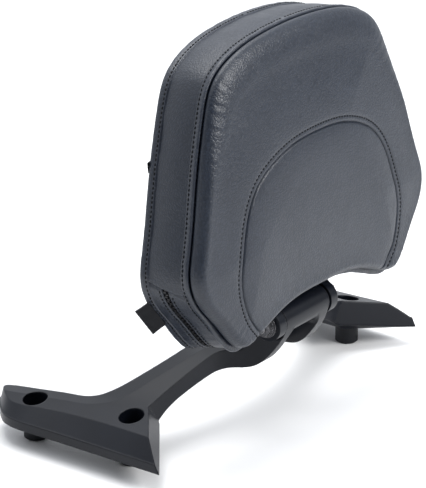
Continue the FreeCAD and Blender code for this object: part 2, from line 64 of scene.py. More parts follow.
# The rear outline is narrower at the top and reaches lower
REAR_NARROWING = 0.06
REAR_STRETCH = 1.03
REAR_DROP = 6.0

# Face: wall at the seam, rolled edge and dome
FOCUS = np.array([0.0, 60.0])
WALL = 3.0
ROLL_RISE = 9.5
ROLL_WIDTH = 6.0
ROLL_WIDER_ON_TOP = 19.0
DOME_RISE = 6.0
DOME_REACH = 38.0

# Corners of the pad, as shares of the way round from the top centre
UPPER_RIGHT = 0.14
LOWER_RIGHT = 0.38
LOWER_LEFT = 0.62
UPPER_LEFT = 0.86

# Depths of the seams and stitches on the boxed side
LIP_W = 6.3
BACK_LIP_W = 35.7
FRONT_STITCH_W = 4.4
REAR_STITCH_W = 37.6
STRIP_STITCH_IN = 2.4
ZIP_LOW = 19.9
ZIP_HIGH = 24.9
ZIP_MID = 0.5 * (ZIP_LOW + ZIP_HIGH)

# Height of the slanting cross seam at the front and at the back
SEAM_FRONT = 46.0
SEAM_REAR = 61.2

# How much further the front lip stands out under the pad
LIP_UNDER = 2.2

# Half width of the gap in the teeth where the support plate's ears come out
PLATE_HALF = 38.0

# Thread: length and spacing of the stitches, and their distance from the crease
STITCH = 3.3
STITCH_IN = 4.4
THREAD_RADIUS = 0.5
THREAD_SHARE = 0.66
THREAD_SINK = 0.1

# The pocket's open top edge
POCKET_TOP = 135.0

# How finely the covers are meshed
SAMPLES = 800
CREASE_SAMPLES = 1200
BORDER_ROWS = 66
PANEL_ROWS = 46
BAND_ROWS = 22
BAND_COLUMNS = 620
STRIP_ROWS = 12
STRIP_COLUMNS = 400
TAPE_ROWS = 9
TAPE_COLUMNS = 300
BACK_ROWS = 40
POCKET_ROWS = 60
POCKET_COLUMNS = 170
PATH_SAMPLES = 1600


def to_world(p):
    """Pad frame points (u, w, v) in millimetres to the shared frame in metres."""
    p = np.asarray(p, float)
    c = math.cos(RECLINE)
    s = math.sin(RECLINE)
    y = p[..., 1] * c + p[..., 2] * s
    z = -p[..., 1] * s + p[..., 2] * c
    return np.stack([p[..., 0], y + PAD_Y, z + PAD_Z], -1) / 1000.0


def bending(p, h, closed):
    """Second derivatives of a cubic spline at its points p, which lie h apart."""
    n = len(h)
    if not closed:
        a = np.eye(n + 1)
        b = np.zeros((n + 1, p.shape[1]))
        for i in range(1, n):
            a[i, i - 1] = h[i - 1]
            a[i, i] = 2 * (h[i - 1] + h[i])
            a[i, i + 1] = h[i]
            b[i] = 6 * ((p[i + 1] - p[i]) / h[i] - (p[i] - p[i - 1]) / h[i - 1])
        return np.linalg.solve(a, b)
    a = np.zeros((n, n))
    b = np.zeros((n, p.shape[1]))
    for i in range(n):
        j = (i - 1) % n
        a[i, j] += h[j]
        a[i, i] += 2 * (h[j] + h[i])
        a[i, (i + 1) % n] += h[i]
        b[i] = 6 * ((p[i + 1] - p[i]) / h[i] - (p[i] - p[j]) / h[j])
    m = np.linalg.solve(a, b)
    return np.vstack([m, m[:1]])


def spline(points, samples, closed=True):
    """Cubic spline through the points, sampled at equal arc length, and its length."""
    p = np.asarray(points, float)
    if closed:
        p = np.vstack([p, p[:1]])
    h = np.linalg.norm(np.diff(p, axis=0), axis=1)
    t = np.concatenate([[0], np.cumsum(h)])
    m = bending(p, h, closed)
    fine = np.linspace(0, t[-1], samples * 6 + 1)
    k = np.clip(np.searchsorted(t, fine, "right") - 1, 0, len(h) - 1)
    x = (fine - t[k])[:, None]
    y = (t[k + 1] - fine)[:, None]
    hk = h[k][:, None]
    q = (m[k] * y ** 3 + m[k + 1] * x ** 3) / (6 * hk)
    q += (p[k] / hk - m[k] * hk / 6) * y + (p[k + 1] / hk - m[k + 1] * hk / 6) * x
    s = np.concatenate([[0], np.cumsum(np.linalg.norm(np.diff(q, axis=0), axis=1))])
    want = np.linspace(0, s[-1], samples + 1)[:-1] if closed else np.linspace(0, s[-1], samples)
    return np.stack([np.interp(want, s, q[:, i]) for i in range(q.shape[1])], 1), s[-1]


def mirrored(half):
    return half + [(-u, v) for u, v in reversed(half) if u > 0]


def rear_shape(p):
    u = p[..., 0]
    v = p[..., 1]
    return np.stack([u * (1 - REAR_NARROWING * (v / TOP_V) ** 2), v * REAR_STRETCH - REAR_DROP], -1)


def outward(loop):
    """Unit normals of a closed loop, away from its middle."""
    d = np.roll(loop, -1, 0) - np.roll(loop, 1, 0)
    n = np.stack([-d[:, 1], d[:, 0]], 1)
    n /= np.linalg.norm(n, axis=1)[:, None]
    if np.sum(n * (loop - loop.mean(0))) < 0:
        n = -n
    return n


OUTLINE, PERIMETER = spline(mirrored(HALF_OUTLINE), SAMPLES)
NORMAL = outward(OUTLINE)
ARC = np.arange(SAMPLES) / SAMPLES * PERIMETER
REAR = rear_shape(OUTLINE)
REAR_NORMAL = outward(REAR)
WHOLE_PANEL = mirrored(PANEL_HALF)[len(PANEL_HALF):] + PANEL_HALF
CREASE, _ = spline(WHOLE_PANEL, CREASE_SAMPLES, closed=False)


def loop_at(values, s):
    """Values given along the outline, looked up at arc length s from the top centre."""
    x = (np.asarray(s) / PERIMETER * SAMPLES) % SAMPLES
    i = np.floor(x).astype(int) % SAMPLES
    f = (x - np.floor(x))[..., None]
    return values[i] * (1 - f) + values[(i + 1) % SAMPLES] * f


def side_point(s, w, out):
    """Point on the boxed side at arc length s, depth w, pushed out by out."""
    k = np.asarray(w, float)[..., None] / DEPTH
    uv = loop_at(OUTLINE, s) * (1 - k) + loop_at(REAR, s) * k
    uv = uv + loop_at(NORMAL, s) * np.asarray(out, float)[..., None]
    return np.stack([uv[..., 0], np.broadcast_to(w, uv.shape[:-1]), uv[..., 1]], -1)


def side_row(s, w, out):
    """A row of points on the boxed side at one depth."""
    return side_point(s, np.full(len(s), w), np.broadcast_to(out, s.shape))


def nearest(points, line, closed=True):
    """Distance from each 2-D point to a polyline, and the index of the nearest segment."""
    start = line if closed else line[:-1]
    end = np.roll(line, -1, 0) if closed else line[1:]
    d = end - start
    length = (d * d).sum(1) + 1e-12
    best = np.empty(len(points))
    index = np.empty(len(points), int)
    chunk = 4000
    for i in range(0, len(points), chunk):
        p = points[i:i + chunk]
        t = np.clip(((p[:, None] - start) * d).sum(2) / length, 0, 1)
        e = p[:, None] - start - t[..., None] * d
        r = (e * e).sum(2)
        k = r.argmin(1)
        best[i:i + chunk] = np.sqrt(r[np.arange(len(p)), k])
        index[i:i + chunk] = k
    return best, index


def smooth(x, lo, hi):
    t = np.clip((x - lo) / (hi - lo), 0, 1)
    return t * t * (3 - 2 * t)


def waves(x, low, high, count, seed):
    """A sum of sines of random phase with wavelengths between low and high, about -1 to 1."""
    r = np.random.default_rng(seed)
    y = np.zeros_like(x, float)
    for _ in range(count):
        y += np.sin(x * 2 * math.pi / r.uniform(low, high) + r.uniform(0, 6.28)) * r.uniform(0.5, 1)
    return y / (0.5 * count)


def close_to(s, share, reach):
    """1 at a corner of the pad, falling to 0 at the given reach along the outline."""
    return np.clip(1 - np.abs(s - PERIMETER * share) / reach, 0, 1)


def both_ends(count):
    """Shares from 0 to 1 that lie closer together near both ends."""
    return 0.5 - 0.5 * np.cos(math.pi * np.linspace(0, 1, count))


def towards_edge(count):
    """Shares from 0 to 1 that lie closer together near 1."""
    return np.cos(0.5 * math.pi * np.linspace(1, 0, count))


def mesh_object(name, verts, faces, smooth_shade=True):
    mesh = bpy.data.meshes.new(name)
    mesh.from_pydata([tuple(v) for v in verts], [], [tuple(int(i) for i in f) for f in faces])
    mesh.update()
    if smooth_shade:
        mesh.polygons.foreach_set("use_smooth", [True] * len(mesh.polygons))
    obj = bpy.data.objects.new(name, mesh)
    bpy.context.collection.objects.link(obj)
    return obj


def grid_faces(rows, cols, wrap=False, flip=False):
    faces = []
    last = cols if wrap else cols - 1
    for i in range(rows - 1):
        for j in range(last):
            k = (j + 1) % cols
            q = (i * cols + j, i * cols + k, (i + 1) * cols + k, (i + 1) * cols + j)
            faces.append(q[::-1] if flip else q)
    return faces


def grid_object(name, rows, wrap=False, flip=False):
    grid = np.array(rows)
    faces = grid_faces(grid.shape[0], grid.shape[1], wrap, flip)
    return mesh_object(name, to_world(grid).reshape(-1, 3), faces)


# Materials

def new_material(name):
    mat = bpy.data.materials.new(name)
    mat.use_nodes = True
    nt = mat.node_tree
    nt.nodes.clear()
    out = nt.nodes.new("ShaderNodeOutputMaterial")
    bsdf = nt.nodes.new("ShaderNodeBsdfPrincipled")
    nt.links.new(bsdf.outputs[0], out.inputs[0])
    coord = nt.nodes.new("ShaderNodeTexCoord")
    return mat, nt, bsdf, coord


def node(nt, kind, **values):
    n = nt.nodes.new(kind)
    for key, value in values.items():
        if key in n.inputs:
            n.inputs[key].default_value = value
        else:
            setattr(n, key, value)
    return n


def noise(nt, coord, scale, detail=3.0, rough=0.55):
    n = node(nt, "ShaderNodeTexNoise", Scale=scale, Detail=detail, Roughness=rough)
    nt.links.new(coord.outputs["Object"], n.inputs["Vector"])
    return n


def mix_colour(nt, fac, a, b):
    ramp = nt.nodes.new("ShaderNodeValToRGB")
    ramp.color_ramp.elements[0].position = 0.3
    ramp.color_ramp.elements[1].position = 0.7
    ramp.color_ramp.elements[0].color = (*a, 1)
    ramp.color_ramp.elements[1].color = (*b, 1)
    nt.links.new(fac, ramp.inputs["Fac"])
    return ramp.outputs["Color"]


def bump(nt, height, strength, distance, normal=None):
    b = node(nt, "ShaderNodeBump", Strength=strength, Distance=distance)
    nt.links.new(height, b.inputs["Height"])
    if normal is not None:
        nt.links.new(normal, b.inputs["Normal"])
    return b.outputs["Normal"]


def between(nt, value, low, high):
    """A value of 0 to 1 spread from low to high."""
    ramp = node(nt, "ShaderNodeMapRange", **{"To Min": low, "To Max": high})
    nt.links.new(value, ramp.inputs["Value"])
    return ramp.outputs[0]


def vinyl(name, dark, light, rough):
    """Slate upholstery vinyl: pebbled grain with fine creases, painted shade darkening the base colour in
    the creases, patchy gloss.
    """
    mat, nt, bsdf, coord = new_material(name)
    warp = noise(nt, coord, scale=160.0)
    warped = node(nt, "ShaderNodeMixRGB", Fac=0.0035, blend_type="ADD")
    nt.links.new(coord.outputs["Object"], warped.inputs[1])
    nt.links.new(warp.outputs["Color"], warped.inputs[2])
    cells = node(nt, "ShaderNodeTexVoronoi", Scale=430.0, feature="DISTANCE_TO_EDGE")
    nt.links.new(warped.outputs[0], cells.inputs["Vector"])
    crease = nt.nodes.new("ShaderNodeValToRGB")
    crease.color_ramp.elements[0].position = 0.0
    crease.color_ramp.elements[1].position = 0.25
    nt.links.new(cells.outputs["Distance"], crease.inputs["Fac"])
    fine = noise(nt, coord, scale=1900.0, detail=2.0)
    broad = noise(nt, coord, scale=22.0, detail=4.0)
    patch = noise(nt, coord, scale=95.0, detail=4.0, rough=0.6)
    ripple = noise(nt, coord, scale=260.0, rough=0.6)
    dents = bump(nt, patch.outputs["Fac"], strength=0.1, distance=0.0012)
    ripples = bump(nt, ripple.outputs["Fac"], strength=0.22, distance=0.0004, normal=dents)
    creases = bump(nt, crease.outputs["Color"], strength=0.5, distance=0.00022, normal=ripples)
    grain = bump(nt, fine.outputs["Fac"], strength=0.25, distance=0.0001, normal=creases)
    nt.links.new(grain, bsdf.inputs["Normal"])
    # The base colour is multiplied down in the grain's creases: painted shade.
    painted_crease_shade = node(nt, "ShaderNodeMixRGB", Fac=0.35, blend_type="MULTIPLY")
    nt.links.new(mix_colour(nt, broad.outputs["Fac"], dark, light), painted_crease_shade.inputs[1])
    nt.links.new(crease.outputs["Color"], painted_crease_shade.inputs[2])
    nt.links.new(painted_crease_shade.outputs[0], bsdf.inputs["Base Color"])
    nt.links.new(between(nt, patch.outputs["Fac"], rough - 0.06, rough + 0.09), bsdf.inputs["Roughness"])
    bsdf.inputs["Specular IOR Level"].default_value = 0.5
    return mat


def coated(name, dark, light, rough, scale=900.0, depth=0.00006, metallic=0.0, edge=0.0):
    """Powder-coated or blackened metal: fine orange peel over a solid colour."""
    mat, nt, bsdf, coord = new_material(name)
    peel = noise(nt, coord, scale)
    broad = noise(nt, coord, scale=35.0, detail=4.0)
    soft_edge = None
    if edge:
        # Cast and blackened edges are slightly rounded
        soft_edge = node(nt, "ShaderNodeBevel", Radius=edge, samples=6).outputs["Normal"]
    nt.links.new(bump(nt, peel.outputs["Fac"], 0.3, depth, soft_edge), bsdf.inputs["Normal"])
    nt.links.new(mix_colour(nt, broad.outputs["Fac"], dark, light), bsdf.inputs["Base Color"])
    nt.links.new(between(nt, peel.outputs["Fac"], rough - 0.05, rough + 0.07), bsdf.inputs["Roughness"])
    bsdf.inputs["Specular IOR Level"].default_value = 0.24 if metallic < 0.5 else 0.5
    bsdf.inputs["Metallic"].default_value = metallic
    return mat


def woven(name, dark, light, scale, fuzz=0.05):
    """Thread, tape and foam: fine diagonal ribs with a little fuzz."""
    mat, nt, bsdf, coord = new_material(name)
    ribs = node(nt, "ShaderNodeTexWave", Scale=scale, Distortion=0.6, Detail=1.0, bands_direction="DIAGONAL")
    nt.links.new(coord.outputs["Object"], ribs.inputs["Vector"])
    fine = noise(nt, coord, scale=1800.0, detail=2.0)
    ribbed = bump(nt, ribs.outputs["Fac"], strength=0.5, distance=0.00015)
    nt.links.new(bump(nt, fine.outputs["Fac"], 0.3, 0.0001, ribbed), bsdf.inputs["Normal"])
    nt.links.new(mix_colour(nt, ribs.outputs["Fac"], dark, light), bsdf.inputs["Base Color"])
    bsdf.inputs["Roughness"].default_value = 0.8
    bsdf.inputs["Specular IOR Level"].default_value = 0.3
    bsdf.inputs["Sheen Weight"].default_value = fuzz
    return mat


VINYL = vinyl("slate_vinyl", (0.0128, 0.0184, 0.0310), (0.0184, 0.0250, 0.0396), 0.39)
# A lighter copy of the slate vinyl for the seam lips: painted light on the rolled lips.
VINYL_LIT_LIP = vinyl("slate_vinyl_lip_lit", (0.020, 0.026, 0.040), (0.027, 0.034, 0.050), 0.36)
CAST = coated("satin_black_cast", (0.0036, 0.0048, 0.0086), (0.0056, 0.0072, 0.0120), 0.33, edge=0.0016)
STEEL = coated("satin_black_steel", (0.004, 0.0055, 0.010), (0.007, 0.009, 0.014), 0.30, 500.0, edge=0.0007)
BOLT = coated("black_oxide", (0.10, 0.10, 0.11), (0.17, 0.17, 0.18), 0.24, 700.0, 0.00004, 0.8, edge=0.0004)
SPACER = coated("black_spacer", (0.006, 0.007, 0.010), (0.010, 0.011, 0.015), 0.42, edge=0.0006)
THREAD = woven("black_thread", (0.0015, 0.0018, 0.0025), (0.004, 0.0045, 0.006), 2500.0, 0.0)
TAPE = woven("zip_tape", (0.004, 0.0045, 0.006), (0.009, 0.010, 0.013), 1400.0)
TAG = woven("black_tag", (0.003, 0.0035, 0.005), (0.008, 0.009, 0.012), 1600.0)
TEETH = coated("black_teeth", (0.012, 0.012, 0.014), (0.02, 0.02, 0.022), 0.32, 600.0)
BUSH = coated("bush_polymer", (0.10, 0.095, 0.08), (0.14, 0.13, 0.11), 0.45, 600.0)
BOARD = coated("plywood_board", (0.32, 0.22, 0.12), (0.45, 0.33, 0.2), 0.6, 120.0, 0.0002)
ZINC = coated("zinc_screws", (0.5, 0.5, 0.52), (0.62, 0.62, 0.64), 0.3, 700.0, 0.00003, 1.0)
FOAM = woven("foam_block", (0.42, 0.38, 0.26), (0.5, 0.46, 0.33), 1500.0)

CAD_LOOKS = {
    "black_cast": CAST, "spacer": SPACER, "bolt_steel": BOLT, "barrel_steel": STEEL, "bush": BUSH,
    "board": BOARD, "screw_zinc": ZINC, "foam": FOAM, "vinyl": VINYL, "seam": VINYL_LIT_LIP,
    "zip_tape": TAPE, "zip_metal": TEETH, "binding": TAPE, "tag": TAG,
}
SLOT_OF = {p["node"]: p["material_slot"] for p in frame["record"]["subparts"]}
for name, obj in frame["nodes"].items():
    obj.data.materials.clear()
    obj.data.materials.append(CAD_LOOKS[SLOT_OF[name]])


def soft(obj, material, slot, *nodes, fill=None):
    """Dress a piece of the pad, and hide the CAD nodes it stands for."""
    obj.data.materials.append(material)
    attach(obj, "pad")
    if nodes:
        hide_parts(*nodes)


# Front face: border piece and centre panel, one continuous crowned surface

def polar(points):
    d = points - FOCUS
    return np.arctan2(d[:, 1], d[:, 0])


def turn(angles):
    """Angles round the focus, counted from straight down."""
    return (angles + math.pi / 2) % (2 * math.pi)


def crease_radius(angles):
    """Distance from the focus to the crease, very large where there is none."""
    key = turn(polar(CREASE))
    order = np.argsort(key)
    r = np.linalg.norm(CREASE - FOCUS, axis=1)
    return np.interp(turn(angles), key[order], r[order], left=1e6, right=1e6)


THETA = polar(OUTLINE)
DIRS = np.stack([np.cos(THETA), np.sin(THETA)], 1)
R_OUT = np.linalg.norm(OUTLINE - FOCUS, axis=1)
R_IN = np.minimum(crease_radius(THETA), R_OUT)
WIDE = (R_OUT - R_IN) > 0.35


def seen_from_focus(points, values):
    """Values given along the outline, looked up in the direction of each point."""
    key = turn(THETA)
    order = np.argsort(key)
    return np.interp(turn(polar(points)), key[order], values[order])


def crease_relief(uv, d, c):
    """The seam's valley, pillowed on both sides, and the pull of its top-stitch."""
    inside = np.linalg.norm(uv - FOCUS, axis=1) < seen_from_focus(uv, R_IN)
    edge = smooth(d, 0.0, 5.0)
    valley = 1.25 * np.exp(-(c / 0.75) ** 2) + 1.1 * np.exp(-c / 5.5)
    stitch = np.where(inside, 0.0, 0.45 * np.exp(-(c - STITCH_IN) ** 2))
    pillow = np.where(inside, 0.55 * (1 - np.exp(-c / 12.0)), 0.0)
    return pillow - valley * (0.25 + 0.75 * edge) - stitch * edge


def seam_gathers(s, d):
    """Gathers pulling in from the outer seam, strongest at the upper left corner."""
    low = close_to(s, LOWER_LEFT, 40.0) + close_to(s, LOWER_RIGHT, 40.0)
    share = 0.07 + 0.32 * close_to(s, UPPER_LEFT, 70.0) + 0.16 * close_to(s, UPPER_RIGHT, 60.0) + 0.16 * low
    gather = waves(s, 5.0, 12.0, 7, 3) * np.exp(-d / 15.0) * smooth(d, 0.3, 4.0)
    gather += 0.5 * waves(s + 0.35 * d, 3.2, 6.0, 5, 9) * np.exp(-d / 8.0) * smooth(d, 0.3, 2.0)
    return gather * share


def crown(uv):
    """Depth of the front face at (u, v), negative towards the rider's back."""
    d, segment = nearest(uv, OUTLINE)
    c, _ = nearest(uv, CREASE, closed=False)
    v = uv[:, 1]
    roll = ROLL_WIDTH + ROLL_WIDER_ON_TOP * smooth(v, 115, 195)
    x = np.clip(d / roll, 0, 1)
    w = WALL + ROLL_RISE * np.sqrt(np.clip(1 - (1 - x) ** 2, 0, 1))
    w += DOME_RISE * (1 - np.exp(-(np.clip(d - roll, 0, None) / DOME_REACH) ** 1.5))
    w += crease_relief(uv, d, c)
    w += seam_gathers(ARC[segment], d)
    w += 0.15 * waves(uv[:, 0] + 0.5 * v, 35, 80, 4, 5) * smooth(d, 5, 30)
    return -w


def face_row(radius):
    """A row of the face at these distances from the focus."""
    uv = FOCUS + DIRS * radius[:, None]
    return np.stack([uv[:, 0], crown(uv), uv[:, 1]], 1)


def tuck_row(inset, w):
    """A row of points inside the outline, all at depth w."""
    uv = OUTLINE - NORMAL * inset
    return np.stack([uv[:, 0], np.full(SAMPLES, w), uv[:, 1]], 1)


# Rows that turn the cover in under the seam lip: how far in, and how deep
TUCK = ((0.5, -1.6), (1.5, -0.7), (2.6, 0.3), (3.2, 1.6))
TUCK_ROWS = [tuck_row(inset, w) for inset, w in TUCK]


def front_border():
    """The horseshoe round the panel. It stops where the panel reaches the seam."""
    rows = [face_row(R_IN + (R_OUT - R_IN) * x) for x in both_ends(BORDER_ROWS)] + TUCK_ROWS
    faces = []
    for f in grid_faces(len(rows), SAMPLES, wrap=True):
        if WIDE[f[0] % SAMPLES] and WIDE[f[1] % SAMPLES]:
            faces.append(f)
    used = sorted({i for f in faces for i in f})
    renumber = {k: i for i, k in enumerate(used)}
    verts = to_world(np.array(rows)).reshape(-1, 3)[used]
    return mesh_object("face_border_cover", verts, [[renumber[i] for i in f] for f in faces])


def front_panel():
    """The centre panel, turned in under the lip where it reaches the seam."""
    rows = [face_row(R_IN * max(x, 0.012)) for x in towards_edge(PANEL_ROWS)]
    last = len(rows) - 1
    for tuck in TUCK_ROWS:
        rows.append(np.where(WIDE[:, None], rows[last], tuck))
    faces = []
    for f in grid_faces(len(rows), SAMPLES, wrap=True):
        at_seam = not WIDE[f[0] % SAMPLES] and not WIDE[f[1] % SAMPLES]
        if f[2] // SAMPLES <= last or at_seam:
            faces.append(f)
    faces.append(tuple(range(SAMPLES))[::-1])
    return mesh_object("face_panel_cover", to_world(np.array(rows)).reshape(-1, 3), faces)


soft(front_border(), VINYL, "vinyl", "face_border", "foam_core", fill=0.9)
soft(front_panel(), VINYL, "vinyl", "face_panel", fill=0.9)

# Boxed side: lips, upper band and zip strips

# Each point of a lip is its depth and how far it stands out

FRONT_LIP = [
    (2.4, -3.4), (1.2, -2.6), (0.2, -1.7), (-0.3, -0.6), (-0.45, 0.5), (-0.1, 1.1),
    (0.5, 1.4), (1.4, 1.45), (2.6, 1.2), (3.5, 1.0), (4.2, 0.72), (4.6, 0.7),
    (5.1, 0.85), (5.7, 0.8), (6.1, 0.45), (6.4, 0.05), (6.6, -0.4),
]
REAR_LIP = [
    (35.4, -0.4), (35.6, 0.05), (35.9, 0.45), (36.3, 0.8), (36.9, 0.85), (37.4, 0.7),
    (37.8, 0.72), (38.5, 1.0), (39.6, 1.2), (40.8, 1.35), (41.9, 1.3), (42.6, 1.0),
    (43.0, 0.4), (42.9, -0.4), (42.5, -1.2), (42.0, -2.0),
]


def cross_s(w):
    """Arc length from the top centre to the cross seam at depth w."""
    v = SEAM_FRONT + (SEAM_REAR - SEAM_FRONT) * np.asarray(w, float) / DEPTH
    widest = int(np.argmax(OUTLINE[:SAMPLES // 2, 0]))
    stretch = slice(widest - 60, widest + 90)
    return np.interp(-v, -OUTLINE[stretch, 1], ARC[stretch])


def side_gather(s, w):
    """Gathers of the boxed side, strongest at the corners and beside the lips."""
    corner = close_to(s, UPPER_LEFT, 60.0) + close_to(s, UPPER_RIGHT, 60.0)
    corner = corner + close_to(s, LOWER_LEFT, 35.0) + close_to(s, LOWER_RIGHT, 35.0)
    edge = np.clip(np.minimum(w - LIP_W, BACK_LIP_W - w), 0, None)
    return waves(s, 7.0, 18.0, 6, 11) * (0.08 + 0.28 * corner) * np.exp(-edge / 7.0)


def seam_lip(name, profile, below):
    """A folded, top-stitched lip all round, standing out further by below under the pad."""
    under = smooth(-OUTLINE[:, 1], -30.0, -12.0) * below
    rows = []
    for w, out in profile:
        rise = 0.12 * waves(ARC, 9, 30, 5, 17) if out > 0 else 0.0
        rise = rise + under * smooth(out, -1.0, 0.4) * (1 - smooth(w, 1.5, 5.5))
        in_channel = 0.65 < out < 0.78
        pull = 0.16 * (0.5 + 0.5 * np.cos(2 * math.pi * ARC / STITCH)) if in_channel else 0.0
        rows.append(side_row(ARC, w, out + rise + pull))
    return grid_object(name, rows, wrap=True)


soft(seam_lip("front_seam_fold", FRONT_LIP, LIP_UNDER), VINYL_LIT_LIP, "seam", "front_seam_lip", fill=0.9)
soft(seam_lip("rear_seam_fold", REAR_LIP, 0.0), VINYL_LIT_LIP, "seam", "rear_seam_lip", fill=0.9)


def side_band():
    """The boxed side over the top, down to the cross seams, where it is folded under."""
    rows = []
    for w in np.linspace(LIP_W, BACK_LIP_W, BAND_ROWS):
        s = np.linspace(-cross_s(w), cross_s(w), BAND_COLUMNS)
        out = 1.1 * math.sin(math.pi * (w - LIP_W) / (BACK_LIP_W - LIP_W))
        out = out + side_gather(s, w) + 0.2 * waves(s, 25, 60, 4, 23)
        for d in (s - s[0], s[-1] - s):
            out = out + 0.55 * np.exp(-(d / 4.0) ** 2) - 1.6 * np.exp(-(d / 0.5) ** 2)
        rows.append(side_row(s, w, out))
    return grid_object("side_band_cover", rows)


soft(side_band(), VINYL, "vinyl", "side_band", fill=0.9)

# The folded edge of a zip strip: how far back from the edge, and how far down
STRIP_FOLD = [(0.7, 0.0), (0.3, -0.05), (0.0, -0.25), (-0.15, -0.7), (0.0, -1.2), (0.4, -1.5)]


def zip_strip(name, edge_w, lip_w):
    """A zip strip: from a seam lip to its folded edge beside the zip."""
    sign = 1 if edge_w > lip_w else -1
    profile = [(w, 0.0) for w in np.linspace(lip_w, edge_w - sign * 1.2, STRIP_ROWS)]
    profile += [(edge_w - sign * back, drop) for back, drop in STRIP_FOLD]
    rows = []
    for w, drop in profile:
        s = np.linspace(cross_s(w) + 0.2, PERIMETER - cross_s(w) - 0.2, STRIP_COLUMNS)
        bulge = 0.35 + 0.35 * math.sin(math.pi * min(abs(w - lip_w) / 14.0, 1.0))
        seam = 0.35 * np.exp(-((abs(w - edge_w) - STRIP_STITCH_IN) / 0.8) ** 2)
        out = bulge + drop - seam + side_gather(s, w) * 0.8
        for d in (s - s[0], s[-1] - s):
            out = out - 0.9 * np.exp(-(d / 1.6) ** 2)
        rows.append(side_row(s, w, out))
    return grid_object(name, rows, flip=sign < 0)


soft(zip_strip("zip_strip_front_cover", ZIP_LOW, LIP_W), VINYL, "vinyl", "zip_strip_front", fill=0.9)
soft(zip_strip("zip_strip_rear_cover", ZIP_HIGH, BACK_LIP_W), VINYL, "vinyl", "zip_strip_rear", fill=0.9)

# Zip: two rows of teeth on a tape

# A tooth has a head and a foot, given by their half sizes along, across and out
TOOTH_PITCH = 1.9
TOOTH_SHIFT = 0.75
HEAD_HALF = (0.6, 1.0, 0.55)
FOOT_HALF = (0.75, 0.4, 0.4)
BOX_FACES = ((0, 1, 3, 2), (4, 6, 7, 5), (0, 4, 5, 1), (2, 3, 7, 6), (0, 2, 6, 4), (1, 5, 7, 3))


def zip_runs():
    """The arc lengths that have teeth, with a gap where the support plate comes out."""
    bottom = PERIMETER / 2
    s = np.linspace(bottom - 60, bottom + 60, 400)
    u = loop_at(OUTLINE, s)[:, 0]
    rising = np.argsort(u)
    gap = abs(bottom - np.interp(PLATE_HALF, u[rising], s[rising]))
    end = float(cross_s(ZIP_MID)) + 0.6
    return [(end, bottom - gap), (bottom + gap, PERIMETER - end)]


def add_box(verts, faces, centre, axes, half):
    base = len(verts)
    for a in (-1, 1):
        for b in (-1, 1):
            for c in (-1, 1):
                verts.append(centre + axes[0] * a * half[0] + axes[1] * b * half[1] + axes[2] * c * half[2])
    for q in BOX_FACES:
        faces.append([base + i for i in q])


def zip_teeth():
    verts = []
    faces = []
    across = np.array([0.0, 1.0, 0.0])
    for lo, hi in zip_runs():
        s = np.linspace(lo, hi, int((hi - lo) / TOOTH_PITCH))
        here = side_row(s, ZIP_MID, 0.1)
        above = side_row(s, ZIP_MID, 1.1)
        ahead = side_row(s + 0.2, ZIP_MID, 0.1)
        for i in range(len(s)):
            out = (above[i] - here[i]) / np.linalg.norm(above[i] - here[i])
            along = (ahead[i] - here[i]) / np.linalg.norm(ahead[i] - here[i])
            axes = (along, across, out)
            shift = across * (TOOTH_SHIFT if i % 2 else -TOOTH_SHIFT)
            add_box(verts, faces, here[i] + shift * 0.8 - out * 0.35, axes, HEAD_HALF)
            add_box(verts, faces, here[i] + shift * 2.1 - out * 0.6, axes, FOOT_HALF)
    return mesh_object("zip_teeth", to_world(np.array(verts)), faces, smooth_shade=False)


def zip_tape():
    end = float(cross_s(ZIP_MID)) - 3
    s = np.linspace(end, PERIMETER - end, TAPE_COLUMNS)
    depths = np.linspace(ZIP_LOW - 1.5, ZIP_HIGH + 1.5, TAPE_ROWS)
    return grid_object("zip_tape_strip", [side_row(s, w, -0.9) for w in depths])


soft(zip_teeth(), TEETH, "zip_metal")
soft(zip_tape(), TAPE, "zip_tape", "zip_chain")

# Side tag: a plain woven loop folded over at its outer edge, sewn into the rear seam

TAG_TOP = (-137.0, 40.0)
TAG_LOW = (-116.0, 12.0)
TAG_LONG = 27.0
TAG_OUT = 8.5
TAG_FLARE = math.radians(35)
TAG_HALF = 0.52
TAG_ROOT = -3.0
TAG_SAMPLES = 46


def tag_profile():
    """Across the loop: how far out from the seam, and which face of it."""
    reach = np.linspace(TAG_ROOT, TAG_OUT - 0.6, 12)
    fold = [(TAG_OUT - 0.2, 0.42), (TAG_OUT, 0.18), (TAG_OUT, -0.18), (TAG_OUT - 0.2, -0.42)]
    return [(t, TAG_HALF) for t in reach] + fold + [(t, -TAG_HALF) for t in reach[::-1]]


def side_label():
    start = np.array([TAG_TOP[0] - 2.2, DEPTH - 1.0, TAG_TOP[1] - 2.0])
    along = np.array([TAG_LOW[0] - TAG_TOP[0], 0.0, TAG_LOW[1] - TAG_TOP[1]])
    along /= np.linalg.norm(along)
    out = np.array([along[2], 0.0, -along[0]])
    flare = out * math.cos(TAG_FLARE) + np.array([0.0, math.sin(TAG_FLARE), 0.0])
    face = np.cross(along, flare)
    x = np.linspace(0.0, TAG_LONG, TAG_SAMPLES)
    rows = []
    for reach, side in tag_profile():
        curl = 0.5 * (reach / TAG_OUT) ** 2 * np.cos(math.pi * x / TAG_LONG) if reach > 0 else 0.0
        weave = 0.05 * np.cos(x * 2 * math.pi / 0.9) if abs(side) > 0.5 else 0.0
        lift = side * (1 + 0.12 * np.sin(x * 0.6)) + curl + weave
        rows.append(start + along * x[:, None] + flare * reach + face * lift[:, None])
    faces = grid_faces(len(rows), TAG_SAMPLES)
    faces.append([i * TAG_SAMPLES for i in range(len(rows))][::-1])
    faces.append([i * TAG_SAMPLES + TAG_SAMPLES - 1 for i in range(len(rows))])
    return mesh_object("side_label", to_world(np.array(rows)).reshape(-1, 3), faces)


soft(side_label(), TAG, "tag", "side_tag")

# Back: panel, pocket and its bound edge

BACK_CENTRE = np.array([0.0, 104.0])
BACK_INSET = 0.9
BACK_EDGE_W = 41.0
BACK_BULGE = 2.2


